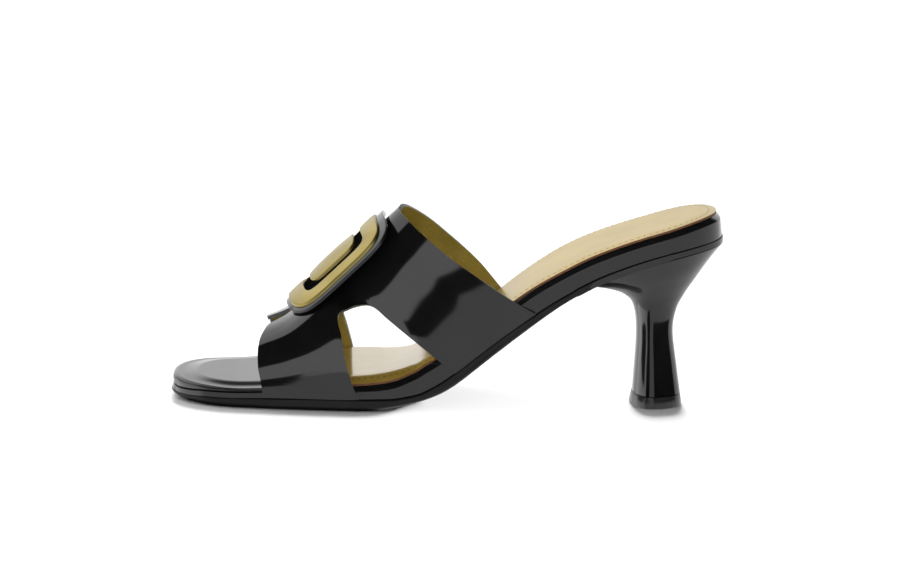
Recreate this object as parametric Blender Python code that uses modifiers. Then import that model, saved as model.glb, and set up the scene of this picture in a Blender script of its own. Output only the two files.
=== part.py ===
"""Heeled slide sandal, one shoe, standing empty on its sole.

The toe points to -X, the inner (medial) side to -Y and the floor is z = 0.
The layers of the sole are laid out flat, by the distance along the sole and
the distance across it, and are then bent over the bottom of the last.
"""
import math

import bmesh
import bpy
import numpy as np
from mathutils import Vector

# Main sizes, in millimetres
MM = 0.001
SOLE_LENGTH = 248.1
TOE_X = -114.4
TOE_CAP = 28.0
TOE_POINT = -9.0
TOE_ROUNDNESS = 2.4
HEEL_CAP = 26.0
HEEL_ROUNDNESS = 2.15
GAP = 0.3
SOCK_START = 65.5
SOCK_INSET = 1.7
SOCK_INSET_BACK = 1.4
SOCK_THICKNESS = 1.2
SOCK_CROWN = 2.0
SOCK_CROWN_BACK = 0.3
SOCK_CROWN_WIDTH = 8.0
SOCK_CROWN_ENDS = (110.0, 140.0)
SOCK_FRONT_RAMP = 10.0
ROLL_DEPTH = 3.0
PAD_RISE = 1.0
PAD_INSET = 9.0
PAD_END = 60.0
PAD_FADE = 14.0
WALL = 1.6
WALL_CLEARANCE = 0.45
WALL_FOLLOWS = 20.0
WALL_LEAVES = 14.0
HEEL_FRONT = 189.5
HEEL_TURNS = 22
HEEL_BREAST = 0.45
HEEL_SEAT_CORNER = 0.05
HEEL_SEAT_HALF = 27.0
LIFT_HEIGHT = 5.0
ORNAMENT_LENGTH = 55.2
ORNAMENT_WIDTH = 47.0
ORNAMENT_BEND = 47.0
ORNAMENT_TILT = 45.0
ORNAMENT_SQUARENESS = 4.8
BASE_THICKNESS = 1.3
PLATE_THICKNESS = 1.0
BOSS_DOME = 0.6
FRAME_INSET = 1.8
FRAME_INSET_END = 2.8
FRAME_FORWARD = 0.8
FRAME_BAR = 5.6
FRAME_BAR_END = 8.4
HOLE_SQUARENESS = 7.0
SLOT_WIDTH = 4.0
PLATE_SIDES = 48
SHIFT_X = -0.112
SHIFT_Y = -2.687

# Slope of the bottom of the last, along the sole
SLOPE_COLUMNS = ("along", "degrees")
SLOPE_ROWS = [
    (0, -8.0),
    (14, -4.0),
    (34, 0.0),
    (68, 0.0),
    (86, 6.4),
    (100, 13.0),
    (109, 21.6),
    (117, 32.3),
    (127, 39.8),
    (142, 39.5),
    (165, 38.0),
    (178, 33.6),
    (188, 29.2),
    (199, 23.2),
    (213, 19.6),
    (229, 15.0),
    (240, 10.5),
    (247, 8.0),
]

# Half widths of the footbed, and how far the outsole stands out from it
SOLE_COLUMNS = ("along", "medial", "lateral", "margin")
SOLE_ROWS = [
    (6, 32.4, 29.0, 0.1),
    (28, 34.8, 33.0, 0.4),
    (48, 35.8, 37.6, 1.0),
    (68, 36.2, 41.6, 1.0),
    (84, 35.2, 39.4, 1.0),
    (104, 31.2, 33.4, 1.0),
    (126, 27.8, 29.2, 1.0),
    (150, 26.1, 28.0, 1.0),
    (167, 26.0, 28.0, 1.0),
    (186, 26.4, 28.0, 1.0),
    (221, 26.0, 26.2, 0.8),
    (243, 26.0, 26.2, 0.4),
]

# Thickness of the layers of the sole, and how far they drop at the outer side
LAYER_COLUMNS = ("along", "outsole", "footbed", "drop")
LAYER_ROWS = [
    (2, 1.6, 6.1, 0.0),
    (8, 2.4, 5.3, 0.0),
    (14, 3.4, 4.4, 0.0),
    (28, 4.2, 3.7, 0.0),
    (48, 4.8, 4.3, 0.0),
    (68, 5.1, 4.9, 0.0),
    (84, 4.5, 5.7, 0.0),
    (95, 3.4, 7.0, 0.7),
    (104, 3.1, 8.6, 1.6),
    (112, 3.8, 9.1, 1.7),
    (126, 4.2, 8.7, 1.7),
    (140, 4.1, 8.4, 1.8),
    (153, 3.8, 8.4, 1.7),
    (167, 3.1, 8.8, 1.2),
    (186, 2.5, 8.4, 0.0),
    (221, 2.4, 8.4, 0.0),
    (243, 2.4, 9.8, 0.0),
]

# Ridge of the upper over the instep, in the side view
CREST_COLUMNS = ("x", "z", "y")
CREST_ROWS = [
    (-77.5, 30.8, -6.0),
    (-67.5, 35.2, -4.0),
    (-56.0, 45.1, -1.0),
    (-42.0, 59.6, 0.0),
    (-30.0, 72.2, 0.0),
    (-20.6, 81.9, 0.0),
]

# Sections of the upper: foot on the sole, place on the ridge, spread of the rows, height of the foot
UPPER_COLUMNS = ("along", "ridge", "spread", "spread_lateral", "base")
UPPER_ROWS = [
    (30, -6.0, 2.8, 2.2, 4.8),
    (37, 0.5, 2.8, 2.2, 4.95),
    (57, 17.0, 2.15, 2.0, 5.15),
    (77, 33.0, 2.1, 2.0, 5.1),
    (100, 35.0, 2.0, 2.0, 4.7),
    (114, 36.4, 2.0, 2.0, 4.45),
    (122, 41.6, 2.0, 2.0, 4.3),
    (140, 56.0, 2.0, 2.0, 4.15),
    (162, 75.0, 2.0, 2.0, 3.6),
    (170, 81.0, 2.0, 2.0, 3.1),
]

# Roundness of the sections of the upper, at the foot and over the ridge
CURVE_COLUMNS = ("along", "foot", "top")
CURVE_ROWS = [
    (30, 1.87, 3.0),
    (50, 1.8, 3.1),
    (70, 1.7, 2.64),
    (95, 1.95, 2.43),
    (120, 1.8, 2.15),
    (142, 1.93, 2.15),
    (168, 1.7, 2.12),
]

# Edges of the upper, by the angle from the ridge down to the sole
EDGE_COLUMNS = ("angle", "front", "front_lateral", "rear", "rear_lateral")
EDGE_ROWS = [
    (0, 57.0, 57.0, 163.0, 163.0),
    (2, 52.5, 52.6, 162.5, 163.4),
    (4, 46.5, 46.0, 162.0, 163.8),
    (7, 40.4, 38.8, 161.6, 164.2),
    (20, 37.3, 39.3, 161.3, 165.0),
    (35, 35.4, 40.0, 160.7, 165.2),
    (50, 34.8, 40.8, 160.4, 164.0),
    (68, 35.3, 41.4, 161.5, 161.6),
    (80, 36.7, 41.7, 162.6, 158.4),
    (90, 38.0, 42.2, 164.2, 155.5),
]
BAY_FRONT = 78.5
BAY_FRONT_LATERAL = 80.5
BAY_REAR = 122.7
BAY_REAR_LATERAL = 118.5
BAY_CORNER = 54.0
BAY_LEAN = 2.9
BAY_HOLLOW = 1.6
BAY_FOOT = 0.8
BAY_RISE = 14.0

# Levels of the heel, from the top of the lift to the seat
HEEL_COLUMNS = ("front_x", "front_z", "rear_x", "rear_z", "half_width", "seat_shape")
HEEL_ROWS = [
    (79.2, 5.3, 99.5, 5.3, 15.6, 0.0),
    (79.6, 17.0, 97.5, 17.0, 14.2, 0.0),
    (79.8, 29.0, 95.3, 31.5, 13.2, 0.0),
    (79.0, 38.0, 96.4, 41.0, 13.8, 0.05),
    (76.6, 44.4, 99.6, 48.0, 16.0, 0.2),
    (71.8, 48.6, 104.2, 55.4, 19.6, 0.5),
    (66.0, 51.2, 109.0, 63.0, 23.2, 0.8),
]
LIFT_FRONT = 78.2
LIFT_REAR = 100.3
LIFT_HALF_WIDTH = 16.4


def column(rows, columns, name):
    """One named column of a table."""
    return np.array([row[columns.index(name)] for row in rows], dtype=float)


def smooth(xs, ys, x):
    """Cubic curve through a table that never overshoots; straight beyond its ends."""
    xs, ys = np.asarray(xs, float), np.asarray(ys, float)
    h = np.diff(xs)
    d = np.diff(ys) / h
    m = np.zeros(len(xs))
    m[0], m[-1] = d[0], d[-1]
    for k in range(1, len(xs) - 1):
        if d[k - 1] * d[k] > 0:
            a, b = 2 * h[k] + h[k - 1], h[k] + 2 * h[k - 1]
            m[k] = (a + b) / (a / d[k - 1] + b / d[k])
    x = np.asarray(x, float)
    k = np.clip(np.searchsorted(xs, x) - 1, 0, len(h) - 1)
    t = (x - xs[k]) / h[k]
    inside = ((1 + 2 * t) * (1 - t) ** 2 * ys[k] + t * (1 - t) ** 2 * h[k] * m[k]
              + t * t * (3 - 2 * t) * ys[k + 1] + t * t * (t - 1) * h[k] * m[k + 1])
    below = ys[0] + m[0] * (x - xs[0])
    above = ys[-1] + m[-1] * (x - xs[-1])
    return np.where(x < xs[0], below, np.where(x > xs[-1], above, inside))


def table(rows, columns, name, x):
    """Value of a table's column at x, read along the table's first column."""
    return smooth(column(rows, columns, columns[0]), column(rows, columns, name), x)


# Bottom of the last, worked out by adding up its slope
STEPS = np.arange(-10.0, SOLE_LENGTH + 12.0, 0.25)
ANGLES = np.radians(table(SLOPE_ROWS, SLOPE_COLUMNS, "degrees", STEPS))
SPINE_X = np.concatenate([[0.0], np.cumsum(0.25 * np.cos(ANGLES[:-1]))])
SPINE_Z = np.concatenate([[0.0], np.cumsum(0.25 * np.sin(ANGLES[:-1]))])
SPINE_X += TOE_X - np.interp(0.0, STEPS, SPINE_X)
SPINE_Z -= np.interp(50.0, STEPS, SPINE_Z)
SPINE_TURN = np.gradient(ANGLES, STEPS)


def within(rows, s):
    """A distance along the sole, kept inside a table."""
    return np.clip(s, rows[0][0], rows[-1][0])


def layer_height(name, s):
    return table(LAYER_ROWS, LAYER_COLUMNS, name, within(LAYER_ROWS, s))


def sole_margin(s):
    return table(SOLE_ROWS, SOLE_COLUMNS, "margin", within(SOLE_ROWS, s))


def bend(s, y, h):
    """Side view point at y across the sole and the height h over its bottom."""
    angle = np.interp(s, STEPS, ANGLES)
    h = h - float(layer_height("drop", s)) * (0.5 + 0.5 * y / 30.0)
    x = np.interp(s, STEPS, SPINE_X) - h * np.sin(angle)
    z = np.interp(s, STEPS, SPINE_Z) + h * np.cos(angle)
    return x, z


def station(x, z):
    """Distance along the sole of the side view point's foot, and its height."""
    k = int(np.argmin((SPINE_X - x) ** 2 + (SPINE_Z - z) ** 2))
    dx, dz = x - SPINE_X[k], z - SPINE_Z[k]
    height = dz * math.cos(ANGLES[k]) - dx * math.sin(ANGLES[k])
    ahead = dx * math.cos(ANGLES[k]) + dz * math.sin(ANGLES[k])
    return STEPS[k] + ahead / max(1 - SPINE_TURN[k] * height, 0.2), height


def half_width(s, side):
    """Half width of the footbed at s: the table, closed off round the toe and heel."""
    name = "medial" if side < 0 else "lateral"
    width = table(SOLE_ROWS, SOLE_COLUMNS, name, s)
    offset = TOE_POINT * side
    t = np.clip((TOE_CAP - s) / TOE_CAP, 0, 1)
    cap = (1 - t ** TOE_ROUNDNESS) ** (1 / TOE_ROUNDNESS)
    width = np.where(s < TOE_CAP, offset + (width - offset) * cap, width)
    t = np.clip((s - SOLE_LENGTH + HEEL_CAP) / HEEL_CAP, 0, 1)
    cap = (1 - t ** HEEL_ROUNDNESS) ** (1 / HEEL_ROUNDNESS)
    return width * cap


def stations(first, last):
    """Distances along the sole, close together at the round ends."""
    toe = [TOE_CAP * (1 - math.cos(math.pi / 2 * k / 12)) for k in range(13)]
    heel = [SOLE_LENGTH - HEEL_CAP * (1 - math.cos(math.pi / 2 * k / 10)) for k in range(10, -1, -1)]
    body = list(np.linspace(TOE_CAP, SOLE_LENGTH - HEEL_CAP, 30)[1:-1])
    picked = [s for s in toe + body + heel if first + 1.0 < s < last - 1e-6]
    return [first] + picked + [last]


def outline(first=0.0, last=SOLE_LENGTH):
    """Flat outline: the medial side from front to back, then the lateral side."""
    rows = stations(first, last)
    medial = [(s, -float(half_width(s, -1))) for s in rows]
    lateral = [(s, float(half_width(s, 1))) for s in rows]
    return np.array(medial), np.array(lateral)


def offset_side(points, side, distance):
    """A side of the outline moved inward along its own normals."""
    tangent = np.gradient(points, axis=0)
    tangent[0] = (0.0, side) if abs(points[0][0]) < 1e-6 else tangent[0]
    tangent[-1] = (0.0, -side) if abs(points[-1][0] - SOLE_LENGTH) < 1e-6 else tangent[-1]
    tangent /= np.linalg.norm(tangent, axis=1)[:, None]
    normal = np.stack([-tangent[:, 1], tangent[:, 0]], 1) * side
    return points - normal * np.reshape(distance, (-1, 1))


def place(x, y, z):
    return Vector(((x + SHIFT_X) * MM, (y + SHIFT_Y) * MM, z * MM))


def layer(bm, medial, lateral, profile, height):
    """Closed layer of the sole from rings of (inset, height above its own bottom)."""
    count = len(medial)
    rings = []
    for inset, level in profile:
        ring = []
        sides = ((offset_side(medial, -1, inset), -1), (offset_side(lateral, 1, inset), 1))
        for points, side in sides:
            row = []
            for s, y in points:
                x, z = bend(s, y, float(height(s, level, inset)))
                row.append((x, y, z))
            ring.append(row)
        loop = ring[0] + ring[1][::-1]
        rings.append([bm.verts.new(place(*p)) for p in loop])
    total = 2 * count
    for low, high in zip(rings, rings[1:]):
        for k in range(total):
            n = (k + 1) % total
            bm.faces.new((low[k], low[n], high[n], high[k]))
    for ring in (rings[0], rings[-1]):
        for k in range(count - 1):
            bm.faces.new((ring[k], ring[k + 1], ring[total - 2 - k], ring[total - 1 - k]))
    bmesh.ops.remove_doubles(bm, verts=bm.verts, dist=0.00002)
    bmesh.ops.recalc_face_normals(bm, faces=bm.faces)


def material(name, colour, roughness, metallic=0.0):
    made = bpy.data.materials.new(name)
    made.use_nodes = True
    shader = made.node_tree.nodes["Principled BSDF"]
    shader.inputs["Base Color"].default_value = (*colour, 1.0)
    shader.inputs["Roughness"].default_value = roughness
    shader.inputs["Metallic"].default_value = metallic
    return made


def finish(bm, name, look):
    mesh = bpy.data.meshes.new(name)
    bm.to_mesh(mesh)
    bm.free()
    mesh.materials.append(look)
    piece = bpy.data.objects.new(name, mesh)
    sandal.objects.link(piece)
    return piece


# An empty scene
for old in list(bpy.data.objects):
    bpy.data.objects.remove(old)
sandal = bpy.data.collections.new("slide_sandal")
bpy.context.scene.collection.children.link(sandal)
patent = material("patent", (0.012, 0.012, 0.013), 0.12)
rubber = material("sole_rubber", (0.02, 0.02, 0.02), 0.4)
heel_black = material("heel_gloss", (0.012, 0.012, 0.013), 0.1)
lift_black = material("lift_rubber", (0.015, 0.015, 0.015), 0.5)
gold_leather = material("sock_leather", (0.52, 0.45, 0.26), 0.35)
upper_black = material("upper_patent", (0.012, 0.012, 0.013), 0.1)
base_black = material("ornament_black", (0.015, 0.015, 0.016), 0.2)
gold_frame = material("ornament_gold", (0.62, 0.5, 0.22), 0.3, 1.0)
gold_boss = material("boss_gold", (0.62, 0.5, 0.22), 0.3, 1.0)

# Outsole: the full length, a little wider than the layer above it
bm = bmesh.new()
medial, lateral = outline()
medial = offset_side(medial, -1, -sole_margin(medial[:, 0]))
lateral = offset_side(lateral, 1, -sole_margin(lateral[:, 0]))


def outsole_height(s, level, inset):
    return level * layer_height("outsole", s)


profile = [(2.0, 0.0), (0.8, 0.12), (0.0, 0.4), (0.0, 0.85), (0.5, 1.0)]
layer(bm, medial, lateral, profile, outsole_height)
finish(bm, "outsole", rubber)

# Footbed: board wrapped in patent, with a rolled edge and a soft pad at the toe
bm = bmesh.new()
medial, lateral = outline()


def footbed_height(s, level, inset):
    base = layer_height("outsole", s) + GAP
    top = layer_height("footbed", s)
    pad = PAD_RISE * float(np.clip((PAD_END - s) / PAD_FADE, 0, 1)) if inset >= PAD_INSET else 0.0
    return base + (level * top if level >= 0 else top + level * ROLL_DEPTH) + pad


profile = [(0.4, 0.0), (0.0, 0.12), (0.0, -1.0), (0.35, -0.48), (1.1, -0.15)]
profile += [(2.4, -1e-6), (PAD_INSET, -1e-6)]
layer(bm, medial, lateral, profile, footbed_height)
finish(bm, "footbed", patent)

# Insole sock: from behind the front strap to the heel
bm = bmesh.new()


def sock_inset(s):
    return np.interp(s, (225.0, SOLE_LENGTH), (SOCK_INSET, SOCK_INSET_BACK))


medial, lateral = outline(SOCK_START)
medial = offset_side(medial, -1, sock_inset(medial[:, 0]))
lateral = offset_side(lateral, 1, sock_inset(lateral[:, 0]))
medial[0][0] = SOCK_START
lateral[0][0] = SOCK_START


def sock_height(s, level, inset):
    """Top and bottom of the sock: soft and crowned under the ball, thin behind it."""
    base = layer_height("outsole", s) + layer_height("footbed", s) + 2 * GAP
    crown = np.interp(s, SOCK_CROWN_ENDS, (SOCK_CROWN, SOCK_CROWN_BACK))
    rise = 1 - (1 - np.clip((inset - 0.5) / SOCK_CROWN_WIDTH, 0, 1)) ** 2.2
    front = np.clip((s - SOCK_START) / SOCK_FRONT_RAMP, 0.12, 1)
    return base + level * SOCK_THICKNESS + crown * rise * front


profile = [(0.0, 0.0), (0.0, 0.6), (0.5, 1.0), (3.0, 1.0), (8.5, 1.0)]
layer(bm, medial, lateral, profile, sock_height)
finish(bm, "insole_sock", gold_leather)

# Upper: one wall over the instep, open at the toe, behind, at both bays and below
crest_x = column(CREST_ROWS, CREST_COLUMNS, "x")
crest_z = column(CREST_ROWS, CREST_COLUMNS, "z")
crest_y = column(CREST_ROWS, CREST_COLUMNS, "y")
crest_along = np.concatenate([[0.0], np.cumsum(np.hypot(np.diff(crest_x), np.diff(crest_z)))])


def crest(t):
    return [float(smooth(crest_along, values, t)) for values in (crest_x, crest_y, crest_z)]


def upper_point(s, angle, side):
    """Point of the outer face: s picks the section, the angle runs from ridge to sole."""
    spread = float(table(UPPER_ROWS, UPPER_COLUMNS, "spread" if side < 0 else "spread_lateral", s))
    cx, cy, cz = crest(float(table(UPPER_ROWS, UPPER_COLUMNS, "ridge", s)))
    width = float(half_width(s, side))
    bx, bz = bend(s, side * width, float(table(UPPER_ROWS, UPPER_COLUMNS, "base", s)) + GAP)
    rise = max(math.cos(math.radians(angle)), 0.0) ** (2 / spread)
    x, z = bx + (cx - bx) * rise, bz + (cz - bz) * rise
    foot, height = station(x, z)
    near = float(np.clip((WALL_FOLLOWS - height) / WALL_LEAVES, 0, 1))
    near = near * near * (3 - 2 * near)
    reach = width * (1 - near) + float(half_width(foot, side)) * near + WALL_CLEARANCE + WALL
    at_foot = float(table(CURVE_ROWS, CURVE_COLUMNS, "foot", s))
    at_top = float(table(CURVE_ROWS, CURVE_COLUMNS, "top", s))
    out = max(1 - rise ** at_foot, 0.0) ** (1 / at_top)
    return x, cy + side * out * (reach - cy * side), z


def edge(name, angle):
    return float(table(EDGE_ROWS, EDGE_COLUMNS, name, angle))


def bay_rise(u):
    """How far the top of the bay rises above its corners, across the bay."""
    return BAY_RISE * (1 - abs(2 * u - 1) ** 3.6) ** (1 / 3.6)


bm = bmesh.new()
upper_rows = [0, 1, 2, 4, 5.5, 7, 10, 15, 22, 30, 38, 46, BAY_CORNER]
lower_rows = [60, 66, 72, 78, 84, 90]
strap_steps = np.linspace(0, 1, 9)
bay_steps = [0.5 - 0.5 * math.cos(math.pi * k / 12) for k in range(13)]
made = {}


def vertex(s, angle, side):
    key = (round(s, 4), round(angle, 4), side if angle > 0 else 0)
    if key not in made:
        made[key] = bm.verts.new(place(*upper_point(s, angle, side)))
    return made[key]


def strip(grid, side):
    for one, two in zip(grid, grid[1:]):
        for a, b, c, d in zip(one, one[1:], two[1:], two):
            corners = (a, b, c, d) if side < 0 else (d, c, b, a)
            bm.faces.new(corners)


for side in (-1, 1):
    bay_front = 0.0 if side < 0 else BAY_FRONT_LATERAL - BAY_FRONT
    bay_rear = 0.0 if side < 0 else BAY_REAR_LATERAL - BAY_REAR
    front_name = "front" if side < 0 else "front_lateral"
    rear_name = "rear" if side < 0 else "rear_lateral"
    front_grid, middle_grid, rear_grid = [], [], []
    for angle in upper_rows + lower_rows:
        front, rear = edge(front_name, angle), edge(rear_name, angle)
        start = BAY_FRONT + bay_front * math.sin(math.radians(2 * angle))
        below = max(0.0, (angle - BAY_CORNER) / (90 - BAY_CORNER))
        if side < 0:
            start -= BAY_FOOT * below + BAY_HOLLOW * math.sin(math.pi * below)
        lean = BAY_LEAN * min(1.0, 1 - (angle - BAY_CORNER) / (90 - BAY_CORNER))
        end = BAY_REAR + bay_rear * angle / 90.0 - lean
        front_grid.append([vertex(front + (start - front) * u, angle, side) for u in strap_steps])
        rear_grid.append([vertex(end + (rear - end) * u, angle, side) for u in strap_steps])
        if angle <= BAY_CORNER:
            lifted = [angle * (1 - bay_rise(u) / BAY_CORNER) for u in bay_steps]
            across = [start + (end - start) * u for u in bay_steps]
            middle_grid.append([vertex(s, a, side) for s, a in zip(across, lifted)])
    for grid in (front_grid, middle_grid, rear_grid):
        strip(grid, side)
bmesh.ops.recalc_face_normals(bm, faces=bm.faces)
top_face = max(bm.faces, key=lambda f: f.calc_center_median().z)
if top_face.normal.z < 0:
    bmesh.ops.reverse_faces(bm, faces=bm.faces)
upper = finish(bm, "upper", upper_black)
shell = upper.modifiers.new("wall", "SOLIDIFY")
shell.thickness = WALL * MM
shell.offset = -1.0
shell.use_even_offset = True

# Heel: levels from the lift up to the seat under the outsole
bm = bmesh.new()
ways = [0.5 - 0.5 * math.cos(math.pi * k / HEEL_TURNS) for k in range(HEEL_TURNS + 1)]
heel_path = [(t, -1) for t in ways] + [(t, 1) for t in ways[-2:0:-1]]


def heel_shape(t):
    """Outline of a level across, from its flat front to its round back."""
    corner = (1 - max(0.0, 1 - t / HEEL_BREAST) ** 2.2) ** (1 / 2.2)
    return corner * max(0.0, 1 - t ** 2.3) ** (1 / 2.3)


def seat_corner(t):
    """Small rounding of the seat's front corners."""
    return (1 - max(0.0, 1 - t / HEEL_SEAT_CORNER) ** 3) ** (1 / 3)


def heel_ring(front_x, front_z, rear_x, rear_z, half, seat_shape):
    ring = []
    for t, side in heel_path:
        s = HEEL_FRONT + (SOLE_LENGTH - HEEL_FRONT) * t
        seat = seat_corner(t) * float(half_width(min(s, SOLE_LENGTH), side)) / HEEL_SEAT_HALF
        across = half * (heel_shape(t) * (1 - seat_shape) + seat * seat_shape)
        ring.append((front_x + (rear_x - front_x) * t, side * across, front_z + (rear_z - front_z) * t))
    return ring


def seat_ring():
    ring = []
    for t, side in heel_path:
        s = HEEL_FRONT + (SOLE_LENGTH - 0.4 - HEEL_FRONT) * t
        x, z = bend(s, 0.0, -GAP)
        ring.append((x, side * seat_corner(t) * float(half_width(s, side)), z))
    return ring


def loft(rings):
    made_rings = [[bm.verts.new(place(*p)) for p in ring] for ring in rings]
    total = len(made_rings[0])
    for low, high in zip(made_rings, made_rings[1:]):
        for k in range(total):
            n = (k + 1) % total
            bm.faces.new((low[k], low[n], high[n], high[k]))
    for ring in (made_rings[0], made_rings[-1]):
        for k in range(total // 2):
            low, high = ring[k], ring[k + 1]
            far_low, far_high = ring[-k % total], ring[total - k - 1]
            corners = list(dict.fromkeys((low, high, far_high, far_low)))
            bm.faces.new(corners)
    bmesh.ops.recalc_face_normals(bm, faces=bm.faces)


levels = np.linspace(0, len(HEEL_ROWS) - 1, 13)
columns = [column(HEEL_ROWS, HEEL_COLUMNS, name) for name in HEEL_COLUMNS]
rings = [heel_ring(*[float(smooth(range(len(HEEL_ROWS)), c, v)) for c in columns]) for v in levels]
loft(rings + [seat_ring()])
finish(bm, "heel", heel_black)

# Top lift: the wearing piece under the heel, flat on the floor
bm = bmesh.new()
lift_rings = []
for z, grow in ((0.0, -0.4), (0.4, 0.0), (LIFT_HEIGHT, -0.25)):
    lift_rings.append(heel_ring(LIFT_FRONT - grow, z, LIFT_REAR + grow, z, LIFT_HALF_WIDTH + grow, 0.0))
loft(lift_rings)
finish(bm, "top_lift", lift_black)

# Ornament: plates bent across the instep, standing on the ridge of the upper
centre_x, centre_y, centre_z = crest(0.5 * (crest_along[1] + crest_along[-1]) - 2.8)
run = math.radians(ORNAMENT_TILT)
along_dir = (math.cos(run), math.sin(run))
normal_dir = (-math.sin(run), math.cos(run))


def sag(y):
    """Drop of the bent plate at y across it."""
    return ORNAMENT_BEND - math.sqrt(ORNAMENT_BEND ** 2 - y * y)


def plate_radius(turn, length, width, squareness):
    """Radius of a cushion outline at an angle round it."""
    c, q = abs(math.cos(turn)) / (length / 2), abs(math.sin(turn)) / (width / 2)
    return (c ** squareness + q ** squareness) ** (-1 / squareness)


base_size = (ORNAMENT_LENGTH, ORNAMENT_WIDTH, ORNAMENT_SQUARENESS)
lift = 0.0
for s in np.linspace(45, 165, 61):
    for side in (-1, 1):
        for angle in range(0, 52, 2):
            x, y, z = upper_point(float(s), angle, side)
            u = (x - centre_x) * along_dir[0] + (z - centre_z) * along_dir[1]
            v = (x - centre_x) * normal_dir[0] + (z - centre_z) * normal_dir[1]
            reach = plate_radius(math.atan2(y, u), *base_size)
            if math.hypot(u, y) < reach:
                lift = max(lift, v + sag(y))


def plate_point(u, y, height):
    v = lift + GAP + height - sag(y)
    x = centre_x + u * along_dir[0] + v * normal_dir[0]
    z = centre_z + u * along_dir[1] + v * normal_dir[1]
    return place(x, y, z)


def plate(name, look, outer, inner, forward, rows):
    """Bent plate of rows (share, inset, height): the share runs from the outline to the hole or middle."""
    bm = bmesh.new()
    rings = []
    for share, inset, height in rows:
        ring = []
        for k in range(PLATE_SIDES):
            turn = 2 * math.pi * k / PLATE_SIDES
            hole = plate_radius(turn, *inner) if inner else 0.0
            reach = plate_radius(turn, *outer) * (1 - share) + hole * share - inset
            along = reach * math.cos(turn) - forward
            ring.append(bm.verts.new(plate_point(along, reach * math.sin(turn), height)))
        rings.append(ring)
    pairs = list(zip(rings, rings[1:]))
    if inner:
        pairs.append((rings[-1], rings[0]))
    for low, high in pairs:
        for k in range(PLATE_SIDES):
            n = (k + 1) % PLATE_SIDES
            bm.faces.new((low[k], low[n], high[n], high[k]))
    bmesh.ops.remove_doubles(bm, verts=bm.verts, dist=0.00002)
    bmesh.ops.recalc_face_normals(bm, faces=bm.faces)
    finish(bm, name, look)


def grown(size, growth_end, growth_side, squareness):
    """Size of a cushion outline that lies outside another one, or inside it."""
    return (size[0] + 2 * growth_end, size[1] + 2 * growth_side, squareness)


frame_size = grown(base_size, -FRAME_INSET_END, -FRAME_INSET, ORNAMENT_SQUARENESS)
hole_size = grown(frame_size, -FRAME_BAR_END, -FRAME_BAR, HOLE_SQUARENESS)
boss_size = grown(hole_size, -SLOT_WIDTH, -SLOT_WIDTH, ORNAMENT_SQUARENESS)
inside = (0.33, 0.66, 1.0)
top = BASE_THICKNESS
rows = [(share, 0.0, 0.0) for share in inside[::-1]]
rows += [(0.0, 0.8, 0.0), (0.0, 0.0, 0.4), (0.0, 0.0, top - 0.5), (0.0, 0.5, top)]
rows += [(share, 0.0, top) for share in inside]
plate("ornament_base", base_black, base_size, None, 0.0, rows)
low = BASE_THICKNESS + GAP
top = low + PLATE_THICKNESS
rows = [(0.0, 0.0, low), (0.0, 0.0, top - 0.6), (0.0, 0.6, top)]
rows += [(1.0, -0.4, top), (1.0, 0.0, top - 0.4), (1.0, 0.0, low)]
plate("ornament_frame", gold_frame, frame_size, hole_size, FRAME_FORWARD, rows)
rows = [(share, 0.0, low) for share in inside[::-1]]
rows += [(0.0, 0.0, low), (0.0, 0.0, top - 0.5), (0.0, 0.5, top)]
rows += [(share, 0.0, top + BOSS_DOME * (1 - (1 - share) ** 2)) for share in inside]
plate("ornament_boss", gold_boss, boss_size, None, FRAME_FORWARD, rows)
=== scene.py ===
"""Looks of the heeled slide sandal: its pieces dressed in patent, gold leather and gold metal."""
import math

import bmesh
import bpy
import numpy as np
from mathutils import Matrix, Vector


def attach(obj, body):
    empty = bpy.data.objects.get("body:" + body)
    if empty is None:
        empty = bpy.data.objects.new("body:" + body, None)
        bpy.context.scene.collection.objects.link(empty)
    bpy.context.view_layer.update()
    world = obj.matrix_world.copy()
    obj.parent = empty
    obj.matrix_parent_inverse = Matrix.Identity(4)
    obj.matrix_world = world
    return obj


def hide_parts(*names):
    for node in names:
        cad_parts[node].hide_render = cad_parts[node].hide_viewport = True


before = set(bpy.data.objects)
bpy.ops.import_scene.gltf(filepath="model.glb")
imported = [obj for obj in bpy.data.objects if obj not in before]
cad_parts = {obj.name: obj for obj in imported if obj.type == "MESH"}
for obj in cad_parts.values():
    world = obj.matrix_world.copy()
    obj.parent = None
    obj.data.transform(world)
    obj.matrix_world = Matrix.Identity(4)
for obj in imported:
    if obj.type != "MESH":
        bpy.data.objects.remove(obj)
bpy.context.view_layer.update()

# Outsole: a moulded rubber unit the full length of the shoe, cemented under the wrapped footbed
# and standing a millimetre proud of it. The bottom has a plain rim round a sunk field, and the
# edge at the heel seat is lacquered with the heel. Charts are in millimetres, along the sole.
last_slope = {
    "along": (0, 14, 34, 68, 86, 100, 109, 117, 127, 142, 165, 178, 188, 199, 213, 229, 240, 247),
    "degrees": (-8, -4, 0, 0, 6.4, 13, 21.6, 32.3, 39.8, 39.5, 38, 33.6, 29.2, 23.2, 19.6, 15, 10.5, 8),
}
sole_plan = {
    "along": (6, 28, 48, 68, 84, 104, 126, 150, 167, 186, 221, 243),
    "medial": (32.4, 34.8, 35.8, 36.2, 35.2, 31.2, 27.8, 26.1, 26, 26.4, 26, 26),
    "lateral": (29, 33, 37.6, 41.6, 39.4, 33.4, 29.2, 28, 28, 28, 26.2, 26.2),
    "margin": (0.1, 0.4, 1, 1, 1, 1, 1, 1, 1, 1, 0.8, 0.4),
}
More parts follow.
